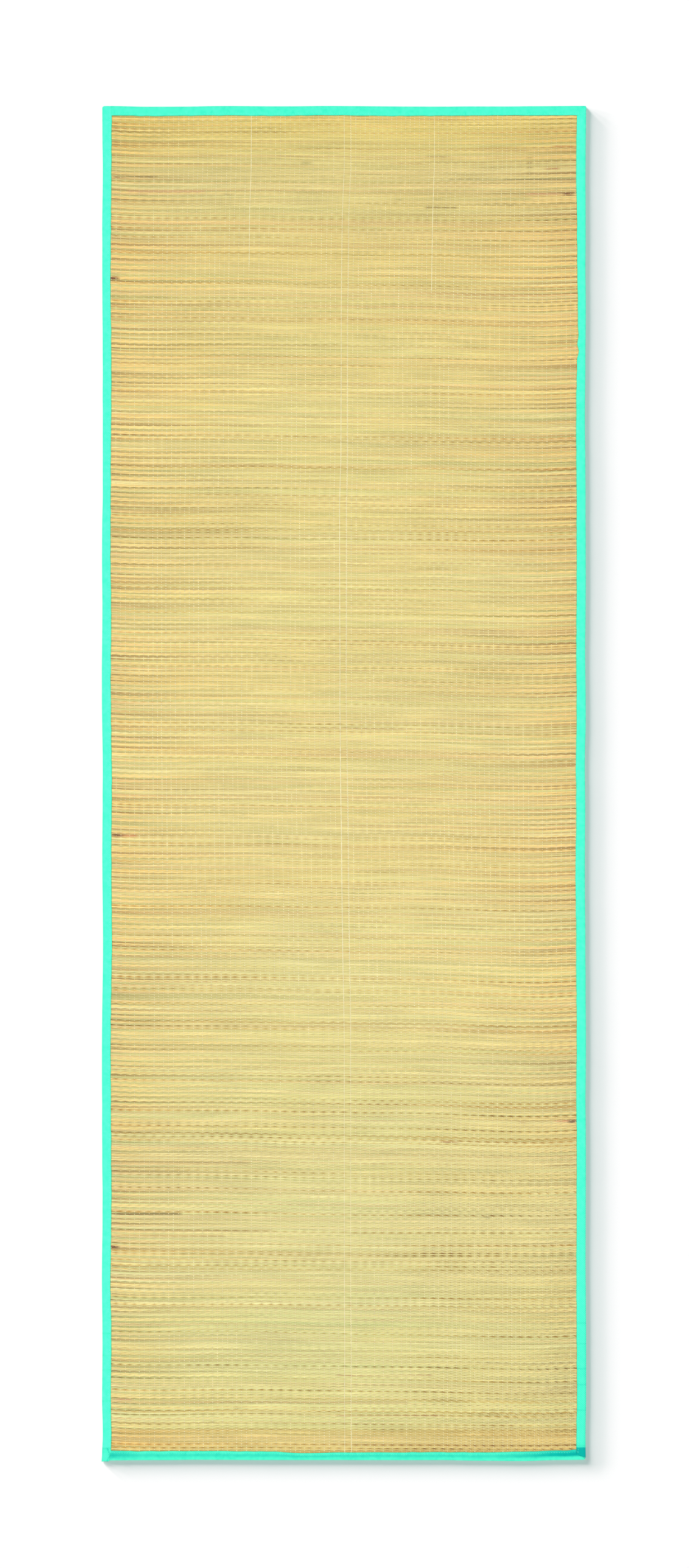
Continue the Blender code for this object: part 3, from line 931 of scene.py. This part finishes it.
def weather(rng, painted, x, y):
    """The straws' colours after the mat's changes of tone and its marks. The tone along the mat
    holds painted shade just above the bottom tape. The colours are first drawn towards their mean
    where the weave is slack.
    tone along the mat, the tone of the whole, the factor across it, and cloudy changes of
    brightness and of warmth."""
    factors = [look_up(TONES, "y", name, y) for name in Tone._fields[1:]]
    side = look_up(SIDES, "x", "factor", x) * (1 + SLACK_BRIGHTER * lower_right(x, y))
    cloud = patches(rng, x, y, BRIGHT_CLOUDS)
    cloud = cloud + STRAW_CHANGE * wander(rng, len(x), x, STRAW_CHANGE_LENGTH)
    cloud = cloud + rng.normal(0.0, SPECKLE, x.shape)
    warm = patches(rng, x, y, WARM_CLOUDS)[..., None] * np.array(WARMTH)
    factors = np.stack(factors, -1) * WHOLE_TONE * (side * (1 + cloud))[..., None]
    factors = factors * (1 + warm)
    even = SLACK_EVEN * lower_right(x, y)[..., None]
    plain = np.mean([one.mean((0, 1)) for one in painted], 0)
    painted = [one * (1 - even) + plain * even for one in painted]
    return [mark_straws(one * factors, x, y) for one in painted]


def painted_edge_shades(rng, colours, x, y, over):
    """What each straw's upper and lower edge are darkened by: painted shade, the straw edge
    colour to the power of a depth, which has two parts. The drawn part runs along the whole edge,
    as painted shade in the gap between two straws. It is small on most edges and large on one in
    seven, and larger at the mat's sides. The free part is a painted shadow on edges that stand
    free, where a straw lies over a thread. It changes from straw to straw, along each straw and
    over the mat, and is largest in the lower right. Upper edges have more of the free part, and
    lower edges more of the drawn one."""
    count = len(x)
    sides = DEPTH_MIDDLE + DEPTH_SIDES * np.exp(-(MAT_HALF_WIDTH - abs(x)) / DEPTH_REACH)
    free = FREE_LEAST + np.maximum(patches(rng, x, y, FREE_CLOUDS), 0)
    free = free + FREE_LOOSE * lower_part(y) + FREE_SLACK * lower_right(x, y)
    each = np.minimum(rng.exponential(1.0, (count, 1)), FREE_ROWS_MOST)
    free = free * (FREE_ROW_LEAST + FREE_ROWS * each)
    along = np.maximum(wander(rng, count, x, FREE_LENGTH), 0)
    free = free * (FREE_ALONG_LEAST + FREE_ALONG * along)
    depths = []
    for edge in PAINTED_EDGE_SHADES:
        drawn = rng.choice(EDGE_DEPTHS, (count, 1), p=DEPTH_SHARES)
        along = np.maximum(wander(rng, count, x, DEPTH_LENGTH), 0)
        drawn = drawn * sides * (DEPTH_LEAST + DEPTH_CHANGE * along)
        depths.append(edge.drawn * drawn + edge.added + edge.free * free * (over > 0))
    return [np.array(colours.straw_edge_painted_shade) ** depth[..., None] for depth in depths]


def straw_strips(weave, sizes, colours):
    """The straws, one in each row, as points, colours and grain on (straws, stations, 3 round).

    At each thread a straw is a low roof: two edges and a ridge. It rises by the weave's height
    and swells where it lies over the thread. Where it lies under, it dips and is pressed
    narrower. Some lie with their flat side up. Two straws lie the same way round and the next
    two the other way. The grain is a place along and across the straws with their bows taken
    out, which the fibres follow."""
    rng = np.random.default_rng(SEED_STRAW)
    count = len(weave.height)
    half = PANEL_HIGH.x - STRAW_END_MARGIN
    ends = np.full((count, 1), half)
    x = np.hstack((-ends, weave.x, ends))
    y = np.hstack((weave.y[:, :1], weave.y, weave.y[:, -1:]))
    over = np.hstack((0 * ends, weave.over, 0 * ends))
    lift = rim_lift(x, y)

    pairs = np.cumprod(np.where(rng.random(count // 2 + 1) < ROW_SLIPS, 1, -1))
    foot = np.repeat(pairs, 2)[:count]
    tapers = np.append(TAPER / 2 * (foot[1:] - foot[:-1]), 0)[:, None]
    loose = LOOSE_SWELL * lower_part(y) + SLACK_SWELL * lower_right(x, y)
    swell = 1 + (sizes.straw_swell + loose) * over
    middle_line = y + wander(rng, count, x, WOBBLE_LENGTH) * WOBBLE
    reach = weave.height[:, None] / 2
    top = middle_line + reach * (swell + np.roll(tapers, 1, 0) * x / half) + TUCK
    bottom = middle_line - reach * (swell - tapers * x / half) - TUCK

    width = top - bottom
    peak = bottom + width * rng.uniform(*RIDGE_PLACES, (count, 1))
    thick = THICK_SHARE * width + THICK_LEAST
    jitter = rng.uniform(-STRAW_JITTER, STRAW_JITTER, (count, 1)) * MM
    middle = FIELD_MIDDLE + RIM_RISE * lift + sizes.weave_height * over + jitter
    flat_up = rng.random((count, 1)) < FLAT_UP
    turned = np.where(flat_up, -1.0, 1.0)
    first, second = np.where(flat_up, top, bottom), np.where(flat_up, bottom, top)
    edge, ridge = middle - turned * thick / 2, middle + turned * thick / 2
    slant = SLANT * lower_right(x, y) * turned * over
    points = np.stack((
        np.stack((x + slant, first, edge), -1), np.stack((x, peak, ridge), -1),
        np.stack((x - slant, second, edge), -1),
    ), 2)

    tones = [straw_tones(rng, colours, x, foot) for _ in range(3)]
    tones = [OWN_TONE * tone + (1 - OWN_TONE) * tones[1] for tone in tones]
    # Painted light on each straw's crests over the threads, and painted shade where it dips under
    # them
    crest_painted_light = (1 + PAINTED_CREST_LIGHT * over)[..., None]
    upper_edge, painted, lower_edge = (tone * crest_painted_light for tone in weather(rng, tones, x, y))
    # Painted shade along the straws' edges: in the gaps between straws, and as a painted shadow
    # under edges that stand free over a thread
    above, below = painted_edge_shades(rng, colours, x, y, over)
    above, below = above * upper_edge, below * lower_edge
    one = np.where(flat_up[..., None], above, below)
    other = np.where(flat_up[..., None], below, above)
    straight = y - bow(x, y)
    across = np.stack((first, peak, second), 2) - y[..., None]
    grain = np.stack((
        np.repeat(x[..., None], 3, 2), straight[..., None] + across,
        np.broadcast_to(rng.uniform(0, 1, (count, 1, 1)), across.shape),
    ), -1)
    return points, np.stack((one, painted, other), 2), grain


def thread_strips(weave, columns, sizes, colours, rng, step=THREAD_STEP, twin=None):
    """Warp threads, as points and colours on (threads, stations, 3 round), a station every few
    rows. A thread is pulled tight, halfway between the rows that pass over it and under it.
    A twin lies a rise higher, on the straws. It stands a shift to the side on the rows that
    pass over its neighbour, and is pulled closer and lower on the others."""
    x, y, over = (grid[::step, columns].T for grid in (weave.x, weave.y, weave.over))
    width = sizes.thread_width * rng.uniform(*THREAD_WIDTHS, x.shape)
    width = width * (1 + WIDTH_CHANGE * wander(rng, len(x), y, WIDTH_LENGTH))
    inside = ease((MAT_HALF_WIDTH - abs(x) - SIDES_START) / SIDES_FADE)
    width = width * (1 - THIN_SIDES + THIN_SIDES * inside)
    width = width * (1 - THIN_TOP * ease((y - TOP_START) / TOP_FADE))
    z = FIELD_MIDDLE + RIM_RISE * rim_lift(x, y)
    if twin:
        rows = (y > twin.until * MM).sum()
        x, y, z, width, over = (grid[:, :rows] for grid in (x, y, z, width, over))
        x = x + twin.gap * MM * (1 - TWIN_PULL + TWIN_PULL * over)
        z = z + sizes.twin_rise * (1 + TWIN_PULL * over)
        width = width * twin.width
    ring = np.array(((-0.5, -0.5), (0.0, 0.5), (0.5, -0.5)))
    points = np.stack((
        x[..., None] + width[..., None] * ring[:, 0],
        np.repeat(y[..., None], 3, -1),
        z[..., None] + THREAD_THICK * ring[:, 1],
    ), -1)
    shade = rng.normal(1.0, THREAD_SHADE, x.shape)
    shade = shade * (1 + THREAD_SHADE * wander(rng, len(x), y, SHADE_LENGTH))
    painted = np.array(colours.warp_thread) * shade[..., None]
    return points, np.repeat(painted[:, :, None], 3, 2)


def read_rows(rows, name, at):
    """A column's value at each place along the edge, eased between the table's rows."""
    along, values = column(rows, "along") * MM, column(rows, name) * MM
    k = np.clip(np.searchsorted(along, at) - 1, 0, len(along) - 2)
    part = ease((at - along[k]) / (along[k + 1] - along[k]))
    return values[k] * (1 - part) + values[k + 1] * part


TapeForm = namedtuple("TapeForm", "at hem fold puff start end")


def lay_out_tape(tape):
    """Stations along a tape, with its hem, fold and fullness at each. The hem is a little
    uneven from stitch to stitch, and the cloth is full between its creases."""
    rng = np.random.default_rng(SEED_TAPE + len(tape.name))
    start = min(cut.along for cut in tape.start) * MM
    end = max(cut.along for cut in tape.end) * MM
    even = np.linspace(start, end, round((end - start) / STATION_STEP) + 1)
    near = (np.array(tape.creases)[:, None] + (-FINE_STEP, 0.0, FINE_STEP)) * MM
    fine = np.arange(1, FINE_STATIONS + 1) * FINE_STEP * MM
    at = np.unique(np.concatenate((even, near.ravel(), start + fine, end - fine)))
    hem, fold = read_rows(tape.rows, "hem", at), read_rows(tape.rows, "fold", at)
    hem = hem + wander(rng, 1, at, HEM_LENGTH)[0] * HEM_WANDER * MM
    fold = fold + wander(rng, 1, at, FOLD_LENGTH)[0] * FOLD_WANDER * MM
    puff = PUFF + PUFF_SLOW * wander(rng, 1, at, PUFF_SLOW_LENGTH)[0]
    puff = puff + PUFF_QUICK * wander(rng, 1, at, PUFF_QUICK_LENGTH)[0]
    for crease in tape.creases:
        puff = puff - CREASE_DEPTH * bell(at - crease * MM, CREASE_WIDTH)
    return TapeForm(at, hem, fold, puff * MM, start, end)


def tape_colours(tape, share, at, colours):
    """The tape's colour at each point, a mix of the plain colour and the darker one: more of that
    in the table's dark stretches, and as painted shade along the middle of the bottom tape, at
    the side tapes' folds, in the curled lower left corner and at each crease."""
    plain, shade = np.array(colours.tape), np.array(colours.tape_tone_and_painted_shade)
    weight = tape.shade * np.ones(share.shape)
    if tape.name == "bottom":
        weight = weight + bell(share - BAND_MIDDLE, BAND_WIDTH)
    for dark in DARKS:
        if dark.tape == tape.name:
            near = ease((at - dark.along * MM) / (dark.fade * MM))
            weight = weight + dark.strength * near * (share <= dark.within)
    if tape.name == "left":
        curl = CURL_LOWEST + CURL_BEND * ((at - CURL_MIDDLE) / MM) ** 2
        near = ease((CURL_FROM - at) / CURL_FADE)
        weight = weight + near * (CURL_SHADE + CURL_LINE * bell(share - curl, CURL_WIDTH))
    if tape.name in ("left", "right"):
        weight = weight + FOLD_SHADE * ease((share - FOLD_FROM) / (1 - FOLD_FROM))
    for crease in tape.creases:
        weight = weight + CREASE_SHADE * bell(at - crease * MM, CREASE_SHADE_WIDTH)
    weight = weight[..., None]
    return plain * (1 - weight) + shade * weight


def tape_strip(tape, colours):
    """One folded tape, as points, colours and grain on (1, stations, turn of the section). The
    section is carried along the edge, and the last stretch at each end is slid to its cut.
    The grain says how clearly the twill shows."""
    form = lay_out_tape(tape)
    side, off, z, puff = (column(TAPE_SECTION, name) for name in Turn._fields)
    hem, fold = form.hem[:, None], form.fold[:, None]
    out = hem * (1 - side) + fold * side + off * MM
    share = np.clip((out - hem) / (fold - hem), 0, 1)
    along = np.repeat(form.at[:, None], len(side), 1)
    for cuts, limit, gone in (
        (tape.start, form.start, form.at - form.start), (tape.end, form.end, form.end - form.at),
    ):
        cut = np.interp(share, column(cuts, "share"), column(cuts, "along") * MM)
        along = along + np.clip(1 - gone / CUT_REACH, 0, 1)[:, None] * (cut - limit)
    height = z * MM + form.puff[:, None] * puff
    axis, outward = np.array(tape.along_axis), np.array(tape.outward)
    flat = along[..., None] * axis + out[..., None] * outward
    points = np.concatenate((flat, height[..., None]), -1)
    painted = tape_colours(tape, share, along, colours)
    clear = np.full(along.shape, tape.ribs)
    if tape.name == "right":
        clear = clear + CLEARER * ease((CLEARER_FROM - along) / CLEARER_FADE)
    grain = np.broadcast_to(clear[..., None], points.shape)
    if axis[0] * outward[1] - axis[1] * outward[0] > 0:
        points, painted, grain = points[:, ::-1], painted[:, ::-1], grain[:, ::-1]
    return points[None], painted[None], grain[None]


def stitch_strips(tape, sizes, colours):
    """The stitches along one tape, on its upper and its lower face, as points and colours on
    (stitches, 3 along, 3 round): short threads whose ends dip into the cloth."""
    rng = np.random.default_rng(SEED_STITCH + len(tape.name))
    form = lay_out_tape(tape)
    first, last = form.start + STITCH_MARGIN, form.end - STITCH_MARGIN
    middle = np.linspace(first, last, round((last - first) / sizes.stitch_pitch))
    middle = middle + rng.uniform(-STITCH_JITTER, STITCH_JITTER, len(middle)) * MM
    length = sizes.stitch_length * rng.uniform(*STITCH_LENGTHS, (len(middle), 1))
    along = middle[:, None] + length * (-0.5, 0.0, 0.5)
    lie = rng.uniform(-STITCH_JITTER, STITCH_JITTER, (len(middle), 1)) + STITCH_LIE
    out = np.interp(along, form.at, form.hem) + STITCH_LINE + lie * MM
    arch, ring = np.array(STITCH_ARCH) * MM, np.array(STITCH_RING) * MM
    axis, outward = np.array(tape.along_axis), np.array(tape.outward)
    across = np.array((-axis[1], axis[0]))
    flat = along[..., None, None] * axis + out[..., None, None] * outward
    both = []
    for height, up, share in zip(STITCH_HEIGHTS, (1, -1), (1.0, STITCH_BELOW)):
        z = height + up * (arch[:, None] + ring[:, 1]) * share
        z = np.broadcast_to(z[..., None], (*flat.shape[:2], len(ring), 1))
        both.append(np.concatenate((flat + up * ring[:, :1] * across, z), -1))
    points = np.concatenate(both)
    shade = rng.normal(1.0, STITCH_SHADE, (len(points), 1, 1, 1))
    return points, np.array(colours.stitch) * shade * np.ones(points.shape)


def settle(piece, slot, *nodes):
    """Makes a finished piece ride on the mat, in place of its nodes."""
    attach(piece, "root")
    if nodes:
        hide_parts(*nodes)


class STRAW_MAT_OT_stage(bpy.types.Operator):
    """Adds the camera straight above the mat, the soft lamps and the pale floor"""

    bl_idname = "straw_mat.stage"
    bl_label = "Stage, lamps and camera"

    def execute(self, context):
        scene = context.scene
        scene.view_settings.view_transform = "Standard"
        camera = bpy.data.objects.new("camera", bpy.data.cameras.new("camera"))
        camera.data.sensor_width = SENSOR / MM
        camera.data.lens = SENSOR * CAMERA_HEIGHT / (IMAGE_HEIGHT * PIXEL) / MM
        camera.location = (
            (IMAGE_WIDTH / 2 - MAT_MIDDLE_PIXEL[0]) * PIXEL,
            (MAT_MIDDLE_PIXEL[1] - IMAGE_HEIGHT / 2) * PIXEL,
            CAMERA_HEIGHT,
        )
        scene.collection.objects.link(camera)
        scene.camera = camera

        sheet = bpy.data.meshes.new("floor")
        ring = ((-1, -1), (1, -1), (1, 1), (-1, 1))
        corners = [(FLOOR_HALF * x, FLOOR_HALF * y, FLOOR_TOP) for x, y in ring]
        sheet.from_pydata(corners, [], [(0, 1, 2, 3)])
        sheet.materials.append(paper_material())
        floor = bpy.data.objects.new("floor", sheet)
        scene.collection.objects.link(floor)

        # The floor's side lamps stand to the upper left, so the shadow falls to the right and
        # below. They are warmer than the floor's light from overhead, which fills the shadow.
        reach = {name: bpy.data.collections.new(f"lit_{name}") for name in ("floor", "mat")}
        for lit in reach.values():
            lit.objects.link(floor)
        reach["mat"].collection_objects[0].light_linking.link_state = "EXCLUDE"
        for lamp in LAMPS:
            data = bpy.data.lights.new(lamp.name, "SUN")
            elevation = math.radians(lamp.elevation)
            data.energy = lamp.share * math.pi / math.sin(elevation)
            data.angle = math.radians(lamp.spread)
            data.color = lamp.colour
            softbox = bpy.data.objects.new(lamp.name, data)
            softbox.rotation_euler = (math.pi / 2 - elevation, 0, math.radians(lamp.azimuth + 90))
            scene.collection.objects.link(softbox)
            softbox.light_linking.receiver_collection = reach[lamp.lights]

        world = bpy.data.worlds.new("studio")
        world.use_nodes = True
        background = world.node_tree.nodes["Background"]
        background.inputs["Color"].default_value = (1, 1, 1, 1)
        background.inputs["Strength"].default_value = WORLD_LIGHT
        scene.world = world
        return {"FINISHED"}


class STRAW_MAT_OT_straw(bpy.types.Operator):
    """Weaves the rows of straw, in four pieces along the mat"""

    bl_idname = "straw_mat.straw"
    bl_label = "Woven straw"

    def execute(self, context):
        sizes, colours = context.scene.straw_mat_sizes, context.scene.straw_mat_colours
        points, painted, grain = straw_strips(lay_out_weave(sizes), sizes, colours)
        material = split_straw_material()
        names = ("straw_top", "straw_upper", "straw_lower", "straw_bottom")
        for name, part in zip(names, np.array_split(np.arange(len(points)), len(names))):
            piece = add_strips(name, points[part], painted[part], material, (2,), grain[part])
            add_bake_map(piece)
            settle(piece, "woven_straw", "straw_panel")
        return {"FINISHED"}


class STRAW_MAT_OT_threads(bpy.types.Operator):
    """Lays the lengthwise warp threads, in two pieces side by side"""

    bl_idname = "straw_mat.threads"
    bl_label = "Warp threads"

    def execute(self, context):
        sizes, colours = context.scene.straw_mat_sizes, context.scene.straw_mat_colours
        rng = np.random.default_rng(SEED_THREAD)
        weave = lay_out_weave(sizes)
        places = thread_places(sizes)
        material = cotton_thread_material()
        for name, columns in (
            ("warp_threads_left", np.flatnonzero(places < 0)),
            ("warp_threads_right", np.flatnonzero(places >= 0)),
        ):
            points, painted = thread_strips(weave, columns, sizes, colours, rng)
            piece = add_strips(name, points, painted, material, flat_sides=(2,))
            add_bake_map(piece)
            settle(piece, "woven_straw", "straw_panel")
        for k, twin in enumerate(TWINS):
            nearest = [int(np.argmin(abs(places - twin.x * MM)))]
            points, painted = thread_strips(weave, nearest, sizes, colours, rng, 1, twin)
            piece = add_strips(f"twin_thread_{k + 1}", points, painted, material, flat_sides=(2,))
            settle(piece, "woven_straw", "straw_panel")
        return {"FINISHED"}


class STRAW_MAT_OT_binding(bpy.types.Operator):
    """Folds the cloth tape round the four edges and sews it down"""

    bl_idname = "straw_mat.binding"
    bl_label = "Cloth binding and stitches"

    def execute(self, context):
        sizes, colours = context.scene.straw_mat_sizes, context.scene.straw_mat_colours
        cloth, thread = cotton_tape_material(), sewing_thread_material()
        for tape in TAPES:
            points, painted, grain = tape_strip(tape, colours)
            piece = add_strips(f"tape_{tape.name}", points, painted, cloth, grain=grain)
            settle(piece, "binding_cloth", f"binding_{tape.name}")
            stitches = add_strips(
                f"stitches_{tape.name}", *stitch_strips(tape, sizes, colours), thread
            )
            settle(stitches, "binding_cloth")
            form = lay_out_tape(tape)
        return {"FINISHED"}


class STRAW_MAT_PT_panel(bpy.types.Panel):
    """Sizes, colours and pieces of the straw mat"""

    bl_label = "Straw Mat"
    bl_idname = "STRAW_MAT_PT_panel"
    bl_space_type = "VIEW_3D"
    bl_region_type = "UI"
    bl_category = "Straw Mat"

    def draw(self, context):
        for group in (context.scene.straw_mat_sizes, context.scene.straw_mat_colours):
            box = self.layout.box()
            for name in group.__annotations__:
                box.prop(group, name)
        for operator in OPERATORS:
            self.layout.operator(operator.bl_idname)


GROUPS = (StrawMatSizes, StrawMatColours)
OPERATORS = (STRAW_MAT_OT_stage, STRAW_MAT_OT_straw, STRAW_MAT_OT_threads, STRAW_MAT_OT_binding)


def register():
    for each in (*GROUPS, *OPERATORS, STRAW_MAT_PT_panel):
        bpy.utils.register_class(each)
    bpy.types.Scene.straw_mat_sizes = bpy.props.PointerProperty(type=StrawMatSizes)
    bpy.types.Scene.straw_mat_colours = bpy.props.PointerProperty(type=StrawMatColours)


def unregister():
    del bpy.types.Scene.straw_mat_colours
    del bpy.types.Scene.straw_mat_sizes
    for each in reversed((*GROUPS, *OPERATORS, STRAW_MAT_PT_panel)):
        bpy.utils.unregister_class(each)


def main():
    """Builds the stage and every piece."""
    register()
    bpy.ops.straw_mat.stage()
    bpy.ops.straw_mat.straw()
    bpy.ops.straw_mat.threads()
    bpy.ops.straw_mat.binding()


if __name__ == "__main__":
    main()
